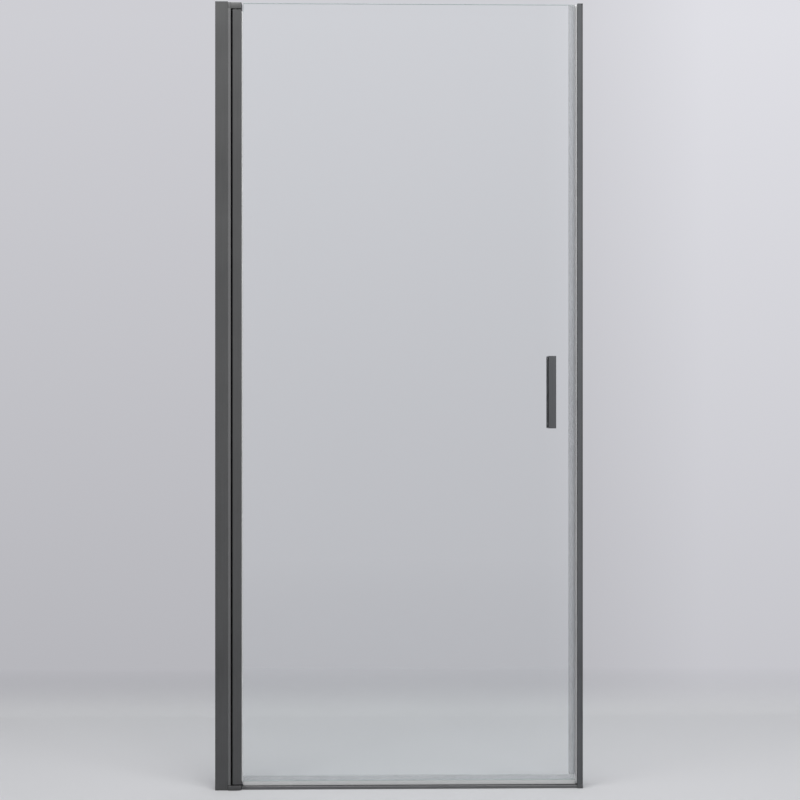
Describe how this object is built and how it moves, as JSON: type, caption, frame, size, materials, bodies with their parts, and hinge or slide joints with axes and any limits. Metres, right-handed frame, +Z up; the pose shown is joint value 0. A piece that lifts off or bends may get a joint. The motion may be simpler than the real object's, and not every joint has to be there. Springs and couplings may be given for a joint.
{
  "type": "pivot shower door",
  "caption": "Pivot shower door for a niche: clear glass leaf in a hinge stile, gunmetal wall profiles, magnetic edge seal, low threshold and grooved bar handles.",
  "frame": {"origin": "middle of the opening's width, on the tray's surface, in the middle of the glass", "axes": "+X from the hinge wall to the strike wall, +Y from the room into the shower, +Z up"},
  "size_m": [0.888, 0.0476, 1.9],
  "materials": {
    "gunmetal_aluminium": "satin",
    "grey_end_cap": "matte",
    "stainless_steel": "satin",
    "black_nylon": "matte",
    "black_rubber": "matte",
    "clear_vinyl": "gloss",
    "magnet_strip": "matte",
    "clear_glass": "polished"
  },
  "bodies": {
    "frame": {"hinge_wall_channel": "gunmetal_aluminium", "channel_top_cap": "grey_end_cap", "hinge_post": "gunmetal_aluminium", "adjust_screws": "stainless_steel", "adjust_screw_caps": "grey_end_cap", "hinge_gap_seal": "black_rubber", "top_pivot_bracket": "gunmetal_aluminium", "top_bracket_screws": "stainless_steel", "top_pivot_pin": "stainless_steel", "bottom_pivot_bracket": "gunmetal_aluminium", "bottom_bracket_screws": "stainless_steel", "bottom_pivot_pin": "stainless_steel", "pin_grub_screws": "stainless_steel", "thrust_washer": "black_nylon", "threshold_bar": "gunmetal_aluminium", "threshold_end_cap": "grey_end_cap", "strike_foot": "grey_end_cap", "strike_wall_rail": "gunmetal_aluminium", "strike_cover": "gunmetal_aluminium", "strike_cover_screws": "stainless_steel", "strike_top_cap": "grey_end_cap", "strike_magnet_seal": "clear_vinyl", "strike_magnet": "magnet_strip"},
    "leaf": {"glass_panel": "clear_glass", "hinge_stile": "gunmetal_aluminium", "stile_top_cap": "grey_end_cap", "stile_bottom_cap": "grey_end_cap", "top_bush": "black_nylon", "bottom_bush": "black_nylon", "glazing_gasket": "clear_vinyl", "glass_setting_block": "black_nylon", "drip_seal": "clear_vinyl", "door_magnet_seal": "clear_vinyl", "door_magnet": "magnet_strip", "handle_outside": "gunmetal_aluminium", "handle_inside": "gunmetal_aluminium", "handle_liners": "black_rubber", "handle_gaskets": "clear_vinyl", "handle_bolts": "stainless_steel", "handle_sleeves": "black_nylon", "handle_bolt_caps": "grey_end_cap"}
  },
  "joints": [
    {"name": "door_swing", "type": "hinge", "parent": "frame", "child": "leaf", "pos_m": [-0.3964, -0.005, 0], "axis": [0, 0, -1], "range_deg": [0, 100]}
  ]
}
